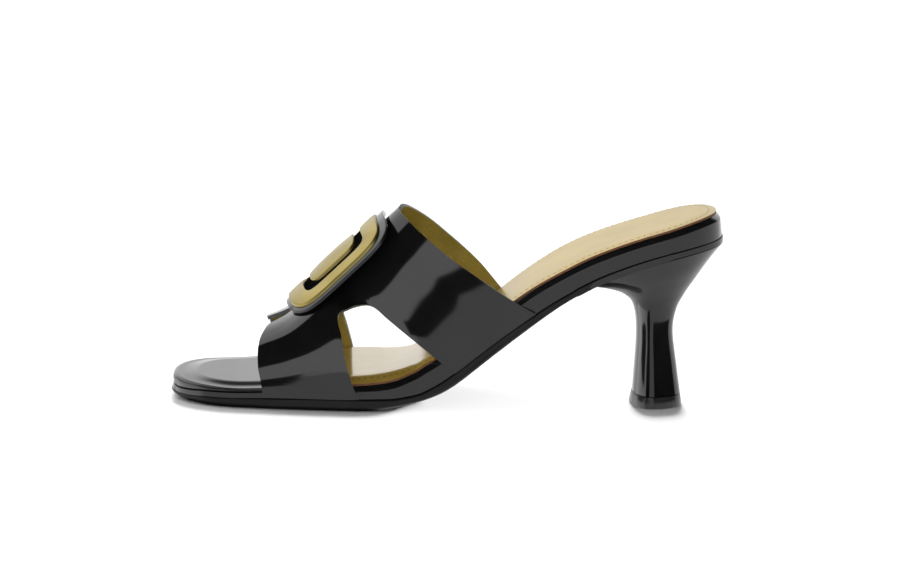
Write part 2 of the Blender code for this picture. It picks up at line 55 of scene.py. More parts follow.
layer_plan = {
    "along": (2, 8, 14, 28, 48, 68, 84, 95, 104, 112, 126, 140, 153, 167, 186, 221, 243),
    "outsole": (1.6, 2.4, 3.4, 4.2, 4.8, 5.1, 4.5, 3.4, 3.1, 3.8, 4.2, 4.1, 3.8, 3.1, 2.5, 2.4, 2.4),
    "footbed": (6.1, 5.3, 4.4, 3.7, 4.3, 4.9, 5.7, 7, 8.6, 9.1, 8.7, 8.4, 8.4, 8.8, 8.4, 8.4, 9.8),
    "drop": (0, 0, 0, 0, 0, 0, 0, 0.7, 1.6, 1.7, 1.7, 1.8, 1.7, 1.2, 0, 0, 0),
}
sole_length = 248.1
toe_start = -114.4
toe_cap, toe_point, toe_roundness = 28.0, -9.0, 2.4
heel_cap, heel_roundness = 26.0, 2.15
layer_gap = 0.3
spine_step, floor_contact = 0.25, 50.0
drop_half_width = 30.0
centre_from, centre_to = 22, 222
frame_shift_x, frame_shift_y = 0.112, 2.687


def smooth(xs, ys, x):
    """Cubic curve through a chart that never overshoots; straight beyond its ends."""
    xs, ys = np.asarray(xs, float), np.asarray(ys, float)
    h = np.diff(xs)
    d = np.diff(ys) / h
    m = np.zeros(len(xs))
    m[0], m[-1] = d[0], d[-1]
    for k in range(1, len(xs) - 1):
        if d[k - 1] * d[k] > 0:
            a, b = 2 * h[k] + h[k - 1], h[k] + 2 * h[k - 1]
            m[k] = (a + b) / (a / d[k - 1] + b / d[k])
    x = np.asarray(x, float)
    k = np.clip(np.searchsorted(xs, x) - 1, 0, len(h) - 1)
    t = (x - xs[k]) / h[k]
    inside = ((1 + 2 * t) * (1 - t) ** 2 * ys[k] + t * (1 - t) ** 2 * h[k] * m[k]
              + t * t * (3 - 2 * t) * ys[k + 1] + t * t * (t - 1) * h[k] * m[k + 1])
    below = ys[0] + m[0] * (x - xs[0])
    above = ys[-1] + m[-1] * (x - xs[-1])
    return np.where(x < xs[0], below, np.where(x > xs[-1], above, inside))


def read(chart, name, at):
    """A chart's column at a place along the chart's first column."""
    return smooth(next(iter(chart.values())), chart[name], at)


def held(chart, name, at):
    """The same column, kept level beyond the chart's ends."""
    along = next(iter(chart.values()))
    return read(chart, name, np.clip(at, along[0], along[-1]))


def layer_height(name, s):
    return held(layer_plan, name, s)


steps = np.arange(-10.0, sole_length + 12.0, spine_step)
angles = np.radians(read(last_slope, "degrees", steps))
spine_x = np.concatenate([[0.0], np.cumsum(spine_step * np.cos(angles[:-1]))])
spine_z = np.concatenate([[0.0], np.cumsum(spine_step * np.sin(angles[:-1]))])
spine_x += toe_start - np.interp(0.0, steps, spine_x)
spine_z -= np.interp(floor_contact, steps, spine_z)


def bend(s, y, h):
    """Side view of a point y across the sole and h above its bottom."""
    angle = np.interp(s, steps, angles)
    h = h - layer_height("drop", s) * (0.5 + 0.5 * y / drop_half_width)
    x, z = np.interp(s, steps, spine_x), np.interp(s, steps, spine_z)
    return x - h * np.sin(angle), z + h * np.cos(angle)


def in_frame(x, y, z):
    """Points of the shoe in millimetres, as points of the frame in metres."""
    return np.stack([x - frame_shift_x, y - frame_shift_y, z], -1) * 0.001


def half_width(s, side):
    """Half width of the footbed, closed off round the toe and the heel."""
    width = np.where(side < 0, read(sole_plan, "medial", s), read(sole_plan, "lateral", s))
    offset = toe_point * side
    t = np.clip((toe_cap - s) / toe_cap, 0, 1)
    cap = (1 - t ** toe_roundness) ** (1 / toe_roundness)
    width = np.where(s < toe_cap, offset + (width - offset) * cap, width)
    t = np.clip((s - sole_length + heel_cap) / heel_cap, 0, 1)
    return width * (1 - t ** heel_roundness) ** (1 / heel_roundness)


def round_trip(u):
    """How far back a trip round an outline has come, and on which side it is."""
    return 0.5 - 0.5 * np.cos(2 * math.pi * u), np.where(u < 0.5, -1.0, 1.0)


turns = np.linspace(0, 1, 2881)
rim_share, rim_side = round_trip(turns)
rim_along = sole_length * rim_share
rim_across = rim_side * half_width(rim_along, rim_side)
rim_flow = []
for line in (rim_along, rim_across):
    flow = np.roll(line[:-1], -1) - np.roll(line[:-1], 1)
    rim_flow.append(np.append(flow, line[1] - line[-2]))
rim_flow = np.array(rim_flow) / np.hypot(*rim_flow)


def along_rim(u):
    return np.interp(u, turns, rim_along)


def sole_ring(u, inset, inward):
    """Flat point of the outline, moved in by the inset and then on towards the centre line."""
    s, y = along_rim(u), np.interp(u, turns, rim_across)
    middle = np.clip(s, centre_from, centre_to)
    centre = 0.5 * (half_width(middle, 1.0) - half_width(middle, -1.0))
    s = s - inset * np.interp(u, turns, rim_flow[1])
    y = y + inset * np.interp(u, turns, rim_flow[0])
    return s + (middle - s) * inward, y + (centre - y) * inward


def lay(bm, columns, rows, shape):
    """A flat grid, carried to its place by a function of its two directions."""
    made = bmesh.ops.create_grid(bm, x_segments=columns, y_segments=rows, size=0.5)["verts"]
    flat = np.array([v.co for v in made]) + 0.5
    for v, spot in zip(made, shape(flat[:, 0], flat[:, 1])):
        v.co = spot


def close(bm, seam=0.000004):
    """Merges the seams of laid grids and turns their faces outward."""
    bmesh.ops.remove_doubles(bm, verts=bm.verts, dist=seam)
    bmesh.ops.recalc_face_normals(bm, faces=bm.faces)


def skin(columns, rows, shape, capped=False):
    """The skin of a piece, laid from one grid, with its open ends filled where it is capped."""
    bm = bmesh.new()
    lay(bm, columns, rows, shape)
    close(bm)
    if capped:
        bmesh.ops.holes_fill(bm, edges=bm.edges, sides=0)
        bmesh.ops.recalc_face_normals(bm, faces=bm.faces)
    return bm


def at_row(profile, v):
    """Columns of a profile, at the rows of a laid grid."""
    return profile[np.rint(v * (len(profile) - 1)).astype(int)].T


def new_object(bm, name, finishes):
    """An object at the origin, made from a bmesh and its finishes."""
    mesh = bpy.data.meshes.new(name)
    bm.to_mesh(mesh)
    bm.free()
    for finish in finishes:
        mesh.materials.append(finish)
    made = bpy.data.objects.new(name, mesh)
    bpy.context.scene.collection.objects.link(made)
    return made


def dress(bm, name, finishes, node, crease=40):
    """A finished piece that stands for a CAD node and rides on the shoe."""
    piece = new_object(bm, name, finishes)
    piece.data.shade_smooth()
    piece.data.set_sharp_from_angle(angle=math.radians(crease))
    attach(piece, "root")
    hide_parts(node)
    return piece


class Wire:
    """A socket in a node tree: sums on it add Math nodes, and node() adds any other node."""

    def __init__(self, tree, socket=None):
        self.tree = tree
        self.socket = socket

    def node(self, kind, settings=None, sockets=None, out=0):
        made = self.tree.nodes.new(kind)
        for name, value in (settings or {}).items():
            if name == "stops":
                for k, (place, colour) in enumerate(value):
                    stop = made.color_ramp.elements[k] if k < 2 else made.color_ramp.elements.new(place)
                    stop.position = place
                    stop.color = (*colour, 1.0)
            else:
                setattr(made, name, value)
        for name, value in (sockets or {}).items():
            if isinstance(value, Wire):
                self.tree.links.new(value.socket, made.inputs[name])
            else:
                made.inputs[name].default_value = value
        return Wire(self.tree, made.outputs[out] if made.outputs else None)

    def sum(self, operation, first, second):
        return self.node("ShaderNodeMath", {"operation": operation}, {0: first, 1: second})

    def __add__(self, other):
        return self.sum("ADD", self, other)

    def __sub__(self, other):
        return self.sum("SUBTRACT", self, other)

    def __rsub__(self, other):
        return self.sum("SUBTRACT", other, self)

    def __mul__(self, other):
        return self.sum("MULTIPLY", self, other)

    __radd__ = __add__
    __rmul__ = __mul__


def finish_of(name):
    """A new material, and a wire to build its nodes from."""
    made = bpy.data.materials.new(name)
    made.use_nodes = True
    made.node_tree.nodes.clear()
    return made, Wire(made.node_tree)


def noise(wire, where, scale, detail=2.0):
    return wire.node("ShaderNodeTexNoise", {}, {"Vector": where, "Scale": scale, "Detail": detail})


def tone(wire, dark, pale, by):
    """A colour that goes between two shades of a finish, as a noise does."""
    return wire.node("ShaderNodeValToRGB", {"stops": [(0.3, dark), (0.7, pale)]}, {"Fac": by})


def relief(wire, strength, distance, height):
    return wire.node("ShaderNodeBump", {}, {"Strength": strength, "Distance": distance, "Height": height})


def surface(wire, sockets):
    shader = wire.node("ShaderNodeBsdfPrincipled", {}, sockets)
    wire.node("ShaderNodeOutputMaterial", {}, {"Surface": shader})


sole_rubber, wire = finish_of("sole_rubber")
where = wire.node("ShaderNodeTexCoord", {}, {}, "Object")
rubber_cloud = noise(wire, where, 60)
rubber_grain = noise(wire, where, 2200, 4.0)
rubber_colour = tone(wire, (0.0085, 0.0085, 0.0088), (0.013, 0.013, 0.0132), rubber_cloud)
rubber_bump = relief(wire, 0.25, 0.0001, rubber_grain)
surface(wire, {"Base Color": rubber_colour, "Roughness": 0.26 + 0.12 * rubber_cloud, "IOR": 1.27,
               "Normal": rubber_bump})

# Rows: the inset, the share of the way to the centre line, the share of the height, and a rise.
outsole_profile = np.array([
    (7, 1, 0, 0.35), (7, 0.5, 0, 0.35), (7, 0, 0, 0.35), (6.6, 0, 0, 0), (3, 0, 0, 0), (2, 0, 0, 0),
    (1.4, 0, 0.04, 0), (0.8, 0, 0.12, 0), (0.3, 0, 0.24, 0), (0, 0, 0.4, 0), (0, 0, 0.65, 0),
    (0, 0, 1, -0.62), (0.06, 0, 1, -0.3), (0.22, 0, 1, -0.1), (0.5, 0, 1, 0), (4, 0, 1, 0),
    (8, 0.5, 1, 0), (8, 1, 1, 0),
], float)
seat_from, seat_edge, seat_rounding = 183, 2, 0.1


def outsole_shape(u, v):
    """The footbed's outline moved out by the margin, with a squarer edge at the heel seat."""
    inset, inward, share, rise = at_row(outsole_profile, v)
    near = along_rim(u)
    square = (near > seat_from) & (inset <= seat_edge)
    inset = np.where(square, seat_rounding * inset, inset)
    s, y = sole_ring(u, inset - held(sole_plan, "margin", near), inward)
    x, z = bend(s, y, share * layer_height("outsole", s) + rise)
    return in_frame(x, y, z)


outsole_skin = skin(480, len(outsole_profile) - 1, outsole_shape)
outsole = dress(outsole_skin, "outsole_unit", [sole_rubber], "outsole")

# Heel: a spool shaped block of moulded plastic in black lacquer, screwed up into the
# seat from inside. It narrows from the seat to a waist and flares again to the lift.
heel_levels = {
    "front_x": (79.2, 79.6, 79.8, 79, 76.6, 71.8, 66),
    "front_z": (5.3, 17, 29, 38, 44.4, 48.6, 51.2),
    "rear_x": (99.5, 97.5, 95.3, 96.4, 99.6, 104.2, 109),
    "rear_z": (5.3, 17, 31.5, 41, 48, 55.4, 63),
    "half_width": (15.6, 14.2, 13.2, 13.8, 16, 19.6, 23.2),
    "seat_shape": (0, 0, 0, 0.05, 0.2, 0.5, 0.8),
}
heel_front = 189.5
front_reach, front_power, back_power = 0.45, 2.2, 2.3
corner_reach, corner_power = 0.05, 3
seat_half, seat_short, seat_proud, seat_lift = 27.0, 0.4, 0.7, 0.25
lacquer_from, lacquer_steep = 0.058, 0.7


def rounded_start(t, reach, power):
    """Rises from nought to one over the first reach of an outline, as a rounded corner does."""
    return (1 - np.clip(1 - t / reach, 0, 1) ** power) ** (1 / power)


def heel_outline(t):
    """Half outline of a level across the heel, from its flat front to its round back."""
    back = np.clip(1 - t ** back_power, 0, 1) ** (1 / back_power)
    return rounded_start(t, front_reach, front_power) * back


def heel_ring(u, front_x, front_z, rear_x, rear_z, half, seat_shape):
    """One level of the heel, which has the seat's outline by its share of that shape."""
    t, side = round_trip(u)
    seat = half_width(heel_front + (sole_length - heel_front) * t, side) / seat_half
    seat = rounded_start(t, corner_reach, corner_power) * seat
    across = half * (heel_outline(t) * (1 - seat_shape) + seat * seat_shape)
    return np.stack([front_x + (rear_x - front_x) * t, side * across, front_z + (rear_z - front_z) * t], -1)


def seat_ring(u):
    """The top of the heel, which meets the underside of the outsole."""
    t, side = round_trip(u)
    s = heel_front + (sole_length - seat_short - heel_front) * t
    x, z = bend(s, 0.0, -layer_gap)
    across = rounded_start(t, corner_reach, corner_power) * (half_width(s, side) + seat_proud)
    return np.stack([x, side * across, z + seat_lift], -1)


def heel_shape(u, v):
    """Levels of the heel joined by one smooth curve from the lift to the seat."""
    spans = len(heel_levels["front_x"])
    rings = [heel_ring(u, *[column[k] for column in heel_levels.values()]) for k in range(spans)]
    rings.append(seat_ring(u))
    rings = np.array([2 * rings[0] - rings[1]] + rings + [2 * rings[-1] - rings[-2]])
    place = np.clip(v * spans, 0, spans - 0.0001)
    k = place.astype(int)
    t = (place - k)[:, None]
    each = np.arange(len(u))
    a, b, c, d = (rings[k + n, each] for n in range(4))
    spot = 0.5 * (2 * b + (c - a) * t + (2 * a - 5 * b + 4 * c - d) * t ** 2
                  + (3 * b - a - 3 * c + d) * t ** 3)
    spot = np.where((v >= 0.99999)[:, None], rings[spans + 1, each], spot)
    return in_frame(*spot.T)


heel_lacquer, wire = finish_of("heel_lacquer")
where = wire.node("ShaderNodeTexCoord", {}, {}, "Object")
lacquer_wave = noise(wire, where, 70)
lacquer_colour = tone(wire, (0.0058, 0.0058, 0.006), (0.0075, 0.0075, 0.0078), lacquer_wave)
lacquer_bump = relief(wire, 0.05, 0.0004, lacquer_wave)
surface(wire, {"Base Color": lacquer_colour, "Roughness": 0.07 + 0.04 * lacquer_wave, "IOR": 1.52,
               "Normal": lacquer_bump})
dress(skin(144, 112, heel_shape, True), "heel_block", [heel_lacquer], "heel")
outsole.data.materials.append(heel_lacquer)
for face in outsole.data.polygons:
    face.material_index = int(face.center.x > lacquer_from and abs(face.normal.z) < lacquer_steep)

# Top lift: the wearing piece of hard black rubber under the heel, pinned on from below.
# It is flush with the heel at its top, widens a little on the way down and lies flat on the floor.
lift_front, lift_rear, lift_half = 78.2, 100.3, 16.4
lift_profile = np.array([
    (-3, 0), (-0.4, 0), (-0.12, 0.12), (0, 0.4), (-0.75, 4.7), (-0.85, 4.9), (-1.0, 5), (-3, 5)])


def lift_shape(u, v):
    grow, z = at_row(lift_profile, v)
    return in_frame(*heel_ring(u, lift_front - grow, z, lift_rear + grow, z, lift_half + grow, 0.0).T)


lift_rubber, wire = finish_of("lift_rubber")
where = wire.node("ShaderNodeTexCoord", {}, {}, "Object")
lift_cloud = noise(wire, where, 300, 4.0)
lift_colour = tone(wire, (0.018, 0.018, 0.018), (0.026, 0.026, 0.0262), lift_cloud)
lift_bump = relief(wire, 0.15, 0.0001, lift_cloud)
surface(wire, {"Base Color": lift_colour, "Roughness": 0.18 + 0.12 * lift_cloud, "Normal": lift_bump})
dress(skin(144, len(lift_profile) - 1, lift_shape, True), "lift_piece", [lift_rubber], "top_lift")

# Footbed: a board with a thin layer of foam, wrapped in black patent leather with a rolled
# edge. The wrap shows as the soft pad under the toes and as the band round the sole.
pad_rise, pad_start, pad_full, pad_end, pad_fade = 1.4, 2.4, 12.5, 60, 14
hair_gap, band_rows = 0.02, 5
edge_plan = {
    "along": (2, 8, 14, 28, 48, 70, 90, 243),
    "roll": (3.8, 2.7, 1.8, 1, 1.2, 2, 2.5, 2.5),
    "roll_width": (2.2, 2.2, 2.3, 2.4, 2.4, 2.2, 1.9, 1.9),
    "roll_power": (0.85, 0.85, 0.9, 1, 1, 1.4, 1.75, 1.75),
    "bulge": (0.9, 0.8, 0.5, 0, 0, 0, 0, 0),
    "groove": (0.8, 0.8, 0.8, 0.8, 0.7, 0.3, 0, 0),
}
# Rows: eleven up the band, seventeen round the roll, thirteen over the edge, fourteen to the middle.
footbed_rows = {
    "inset": [6, 6, 0.2, 0.06] + [0] * 7 + [0] * 17 + [0.6 * k for k in range(1, 14)] + [7.8] * 14,
    "inward": [1, 0] + [0] * 39 + [k / 14 for k in range(1, 15)],
    "rise": [0, 0, 0, 0.06, 0.2] + [-0.9, -0.8, -0.7, -0.4, -0.1, 0] + [0] * 44,
    "groove": [0] * 7 + [0.3, 1, 0.3, 0] + [0] * 44,
    "turn": [0] * 11 + [math.pi / 2 * k / 16 for k in range(17)] + [math.pi / 2] * 27,
}


def eased(t):
    """Nought to one, with a soft start and a soft end."""
    t = np.clip(t, 0, 1)
    return t * t * (3 - 2 * t)


def footbed_shape(u, v):
    """The wrap: a band, a groove at the toe, the rolled edge and the soft pad."""
    row = np.rint(v * (len(footbed_rows["turn"]) - 1)).astype(int)
    inset, inward, rise, groove, turn = (np.array(column, float)[row] for column in footbed_rows.values())
    near = along_rim(u)
    power = held(edge_plan, "roll_power", near)
    rolled = 1 - np.clip(np.cos(turn), 0, 1) ** power
    inset = inset + rolled * held(edge_plan, "roll_width", near) + groove * held(edge_plan, "groove", near)
    inset = inset - np.sin(2 * turn) * held(edge_plan, "bulge", near)
    s, y = sole_ring(u, inset, inward)
    pad = pad_rise * eased((inset - pad_start) / (pad_full - pad_start)) * eased((pad_end - s) / pad_fade)
    top = layer_height("footbed", s) + layer_gap - hair_gap + pad
    level = top - held(edge_plan, "roll", near) * (1 - np.sin(turn) ** power)
    height = np.where(row < band_rows, 0.0, level) + rise
    x, z = bend(s, y, layer_height("outsole", s) + hair_gap + height)
    return in_frame(x, y, z)


def patent_finish(name, ripple, roughness):
    """Black patent leather: a dark base under a smooth clear film that ripples a little."""
    made, wire = finish_of(name)
    where = wire.node("ShaderNodeTexCoord", {}, {}, "Object")
    wave = noise(wire, where, 55, 1.0)
    fine = noise(wire, where, 900, 2.0)
    colour = tone(wire, (0.0052, 0.0052, 0.0055), (0.0072, 0.0072, 0.0076), wave)
    bump = relief(wire, ripple, 0.0006, wave + 0.02 * fine)
    surface(wire, {"Base Color": colour, "Roughness": roughness + 0.03 * fine, "IOR": 1.53, "Normal": bump})
    return made


footbed_patent = patent_finish("footbed_patent", 0.05, 0.12)
footbed_skin = skin(480, len(footbed_rows["turn"]) - 1, footbed_shape)
dress(footbed_skin, "footbed_wrap", [footbed_patent], "footbed")

# Insole sock: gold leather over a thin foam, glued on the footbed from under the front strap
# to the heel. Its front is pinked, and a row of dark stitches runs round just inside its edge.
sock_margin = {
    "along": (100, 140, 225, sole_length),
    "inset": (1.9, 1.7, 1.7, 1.4),
}
sock_crown = {
    "along": (95, 112, 140),
    "rise": (2.4, 0.9, 0.5),
}
sock_start, sock_edge = 65.5, 0.9
crown_reach, crown_power, crown_taper, crown_least = 8.0, 2.2, 10, 0.12
middle_distance = 30
corner_from, corner_slope = 27, 0.25
pinking_depth, pinking_room, raw_slope = 0.8, 1.1, 0.45
stitch_inset, stitch_pitch, stitch_sink, stitch_ends = 2.9, 2.7, 0.12, 0.004
stitch_length, stitch_width, stitch_height = 1.7, 0.5, 0.44
first_turn = math.acos(1 - 2 * sock_start / sole_length) / (2 * math.pi)


def sock_bottom(s):
    return layer_height("outsole", s) + layer_height("footbed", s) + layer_gap + hair_gap


def sock_height(s, distance):
    """Height of the sock's top at a distance from its own edge."""
    rise = 1 - (1 - np.clip(distance / crown_reach, 0, 1)) ** crown_power
    front = np.clip((s - sock_start) / crown_taper, crown_least, 1)
    return sock_bottom(s) + sock_edge + np.interp(s, *sock_crown.values()) * rise * front


def sock_ring(u, distance, inward):
    """Flat point of the sock, at a distance from its own edge."""
    return sole_ring(u, np.interp(along_rim(u), *sock_margin.values()) + distance, inward)


def stitch_spot(u, distance):
    """Point on top of the sock, at a distance from its own edge."""
    s, y = sock_ring(u, distance, 0.0)
    s = np.maximum(s, sock_start)
    x, z = bend(s, y, sock_height(s, distance))
    return in_frame(x, y, z)


sock_distance = [0, 0, 0.15, 0.5, 1.0, 1.6, 2.3, 3.0, 3.8, 4.6, 5.5, 6.5, 7.6, 8.8] + [9.0] * 21
sock_inward = [0] * 14 + [k / 20 for k in range(21)]


def sock_shape(u, v):
    """From the middle below out to the edge, up it, and over the crown to the middle."""
    rows = len(sock_distance)
    row = np.rint(v * (rows + 1)).astype(int) - 2
    u = first_turn + (1 - 2 * first_turn) * u
    top = np.clip(row, 0, rows - 1)
    distance, inward = np.array(sock_distance)[top], np.array(sock_inward)[top]
    inward = np.where(row == -2, 1.0, inward)
    s, y = sock_ring(u, distance, inward)
    ends = (u < first_turn + 1e-9) | (u > 1 - first_turn - 1e-9)
    front = sock_start + corner_slope * np.clip(y - corner_from, 0, None)
    s = np.where(ends, front + pinking_depth * (top % 2), np.maximum(s, front + pinking_room))
    height = sock_height(s, distance + middle_distance * inward)
    x, z = bend(s, y, np.where(row < 1, sock_bottom(s), height))
    return in_frame(x, y, z)


sock_leather, wire = finish_of("sock_leather")
where = wire.node("ShaderNodeTexCoord", {}, {}, "Object")
sock_cloud = noise(wire, where, 45, 2.0)
sock_grain = wire.node("ShaderNodeTexVoronoi", {}, {"Vector": where, "Scale": 1500.0})
sock_pores = noise(wire, where, 1200, 4.0)
sock_colour = tone(wire, (0.59, 0.41, 0.070), (0.69, 0.49, 0.105), sock_cloud)
sock_bump = relief(wire, 0.12, 0.0003, sock_grain * 0.5 + sock_pores * 0.4 + sock_cloud * 1.2)
sock_along = wire.node("ShaderNodeSeparateXYZ", {}, {"Vector": where}, "X")
sock_film = wire.node("ShaderNodeMapRange", {}, {"Value": sock_along, "From Min": 0.02, "From Max": -0.015,
                                                 "To Min": 0.1, "To Max": 0.8})
surface(wire, {"Base Color": sock_colour, "Metallic": 0.35, "Roughness": 0.26 + 0.08 * sock_pores,
               "Coat Weight": sock_film, "Coat Roughness": 0.12, "Normal": sock_bump})
raw_edge, wire = finish_of("raw_edge")
where = wire.node("ShaderNodeTexCoord", {}, {}, "Object")
edge_fibre = noise(wire, where, 2500, 3.0)
edge_colour = tone(wire, (0.085, 0.030, 0.006), (0.20, 0.075, 0.014), edge_fibre)
surface(wire, {"Base Color": edge_colour, "Roughness": 0.55 + 0.2 * edge_fibre})
sock_skin = skin(320, len(sock_distance) + 1, sock_shape, True)
sock_skin.normal_update()
for face in sock_skin.faces:
    face.material_index = int(abs(face.normal.z) < raw_slope)
sock = dress(sock_skin, "sock_pad", [sock_leather, raw_edge], "insole_sock", 50)

stitch_thread, wire = finish_of("stitch_thread")
where = wire.node("ShaderNodeTexCoord", {}, {}, "Object")
thread_twist = noise(wire, where, 3000, 1.0)
thread_colour = tone(wire, (0.045, 0.032, 0.012), (0.10, 0.075, 0.03), thread_twist)
surface(wire, {"Base Color": thread_colour, "Roughness": 0.6})
fine_turns = np.linspace(first_turn + stitch_ends, 1 - first_turn - stitch_ends, 4000)
run_steps = np.linalg.norm(np.diff(stitch_spot(fine_turns, stitch_inset), axis=0), axis=1)
run_length = np.concatenate([[0.0], np.cumsum(run_steps)]) * 1000
count = int(run_length[-1] / stitch_pitch)
middles = np.interp((np.arange(count) + 0.5) * stitch_pitch, run_length, fine_turns)
centres = stitch_spot(middles, stitch_inset)
ahead = stitch_spot(middles + 0.0004, stitch_inset)
inner = stitch_spot(middles, stitch_inset + 0.2)
stitch_size = 0.0005 * Vector((stitch_length, stitch_width, stitch_height))
bm = bmesh.new()
for centre, front, inside in zip(centres, ahead, inner):
    run = Vector(front - centre).normalized()
    across = Vector(inside - centre)
    up = run.cross(across).normalized()
    up = up if up.z > 0 else -up
    across = up.cross(run)
    turn = Matrix((run, across, up)).transposed().to_4x4()
    place = Matrix.Translation(Vector(centre) - 0.001 * stitch_sink * up)
    bmesh.ops.create_uvsphere(bm, u_segments=6, v_segments=5, radius=1.0,
                              matrix=place @ turn @ Matrix.Diagonal((*stitch_size, 1)))
stitches = new_object(bm, "sock_stitches", [stitch_thread])
stitches.data.shade_smooth()
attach(stitches, "root")

# Upper: one piece of patent leather lined in gold leather, cut with a bay on each side and a
# notch at the throat, and lasted under the footbed along both straps. The edges are inked black,
# with a painted highlight that makes them dark grey; the lining carries painted shade.
crest_line = {
    "x": (-77.5, -67.5, -56, -42, -30, -20.6),
    "y": (-6, -4, -1, 0, 0, 0),
    "z": (30.8, 35.2, 45.1, 59.6, 72.2, 81.9),
}
upper_sections = {
    "along": (30, 37, 57, 77, 100, 114, 122, 140, 162, 170),
    "ridge": (-6, 0.5, 17, 33, 35, 36.4, 41.6, 56, 75, 81),
    "fullness": (2.8, 2.8, 2.15, 2.1, 2, 2, 2, 2, 2, 2),
    "fullness_lateral": (2.2, 2.2, 2, 2, 2, 2, 2, 2, 2, 2),
    "base": (4.8, 4.95, 5.15, 5.1, 4.7, 4.45, 4.3, 4.15, 3.6, 3.1),
}
upper_curve = {
    "along": (30, 50, 70, 95, 120, 142, 168),
    "foot": (1.87, 1.8, 1.7, 1.95, 1.8, 1.93, 1.7),
    "top": (3, 3.1, 2.64, 2.43, 2.15, 2.15, 2.12),
}
upper_edges = {
    "angle": (0, 2, 4, 7, 20, 35, 50, 68, 80, 90),
    "front": (57, 52.5, 46.5, 40.4, 37.3, 35.4, 34.8, 35.3, 36.7, 38),
    "front_lateral": (57, 52.6, 46, 38.8, 39.3, 40, 40.8, 41.4, 41.7, 42.2),
    "rear": (163, 162.5, 162, 161.6, 161.3, 160.7, 160.4, 161.5, 162.6, 164.2),
    "rear_lateral": (163, 163.4, 163.8, 164.2, 165, 165.2, 164, 161.6, 158.4, 155.5),
}
bay_front, bay_front_lateral, bay_rear, bay_rear_lateral = 78.5, 80.5, 122.7, 118.5
bay_corner, bay_height, bay_lean, bay_roundness = 54.0, 14.0, 2.9, 3.6
bay_hollow, bay_foot = 1.6, 0.8
upper_wall, wall_clearance, wall_follows, wall_fade, least_turn = 1.6, 0.45, 20.0, 14, 0.2
above_rows, below_rows, ridge_power = 44, 26, 1.35
spine_turn = np.gradient(angles, steps)
crest_steps = np.hypot(np.diff(crest_line["x"]), np.diff(crest_line["z"]))
crest_run = np.concatenate([[0.0], np.cumsum(crest_steps)])


def crest(t):
    return [smooth(crest_run, crest_line[name], t) for name in ("x", "y", "z")]


def read_side(chart, name, at, side):
    """A chart's column on the inner side, and its lateral column on the outer side."""
    return np.where(side < 0, read(chart, name, at), read(chart, name + "_lateral", at))


def upper_spot(s, angle, side):
    """Outer face: s picks the section, and the angle runs from the ridge down to the sole."""
    fullness = read_side(upper_sections, "fullness", s, side)
    cx, cy, cz = crest(read(upper_sections, "ridge", s))
    bx, bz = bend(s, side * half_width(s, side), read(upper_sections, "base", s) + layer_gap)
    rise = np.clip(np.cos(np.radians(angle)), 0, 1) ** (2 / fullness)
    x, z = bx + (cx - bx) * rise, bz + (cz - bz) * rise
    k = np.argmin((spine_x[None, :] - x[:, None]) ** 2 + (spine_z[None, :] - z[:, None]) ** 2, axis=1)
    dx, dz = x - spine_x[k], z - spine_z[k]
    height = dz * np.cos(angles[k]) - dx * np.sin(angles[k])
    ahead = dx * np.cos(angles[k]) + dz * np.sin(angles[k])
    foot = steps[k] + ahead / np.maximum(1 - spine_turn[k] * height, least_turn)
    near = eased((wall_follows - height) / wall_fade)
    reach = half_width(s, side) * (1 - near) + half_width(foot, side) * near + wall_clearance + upper_wall
    out = np.clip(1 - rise ** read(upper_curve, "foot", s), 0, 1) ** (1 / read(upper_curve, "top", s))
    y = cy * side + out * (reach - cy * side)
    return x, side * y, z


def row_angle(row):
    """Angle of a row of the upper: close rows at the ridge, and one row at the bay's corners."""
    over = bay_corner * (np.clip(row, 0, above_rows) / above_rows) ** ridge_power
    return over + (90 - bay_corner) * np.clip(row - above_rows, 0, None) / below_rows


def bay_start(angle, side):
    below = np.clip((angle - bay_corner) / (90 - bay_corner), 0, 1)
    medial = bay_front - bay_foot * below - bay_hollow * np.sin(math.pi * below)
    lateral = bay_front + (bay_front_lateral - bay_front) * np.sin(np.radians(2 * angle))
    return np.where(side < 0, medial, lateral)


def bay_end(angle, side):
    lean = bay_lean * np.clip((90 - angle) / (90 - bay_corner), 0, 1)
    return bay_rear + (np.where(side < 0, bay_rear, bay_rear_lateral) - bay_rear) * angle / 90.0 - lean


def front_strap(u, v, side):
    angle = row_angle(np.rint(v * (above_rows + below_rows)))
    front = read_side(upper_edges, "front", angle, side)
    return in_frame(*upper_spot(front + (bay_start(angle, side) - front) * u, angle, side))


def over_bay(u, v, side):
    """The leather above a bay, whose lower edge is lifted to the bay's round top."""
    angle = row_angle(np.rint(v * above_rows))
    across = 0.5 - 0.5 * np.cos(math.pi * u)
    arch = np.clip(1 - np.abs(2 * across - 1) ** bay_roundness, 0, 1) ** (1 / bay_roundness)
    lifted = angle * (1 - bay_height * arch / bay_corner)
    start = bay_start(lifted, side)
    return in_frame(*upper_spot(start + (bay_end(lifted, side) - start) * across, lifted, side))


def rear_strap(u, v, side):
    angle = row_angle(np.rint(v * (above_rows + below_rows)))
    start = bay_end(angle, side)
    rear = read_side(upper_edges, "rear", angle, side)
    return in_frame(*upper_spot(start + (rear - start) * u, angle, side))


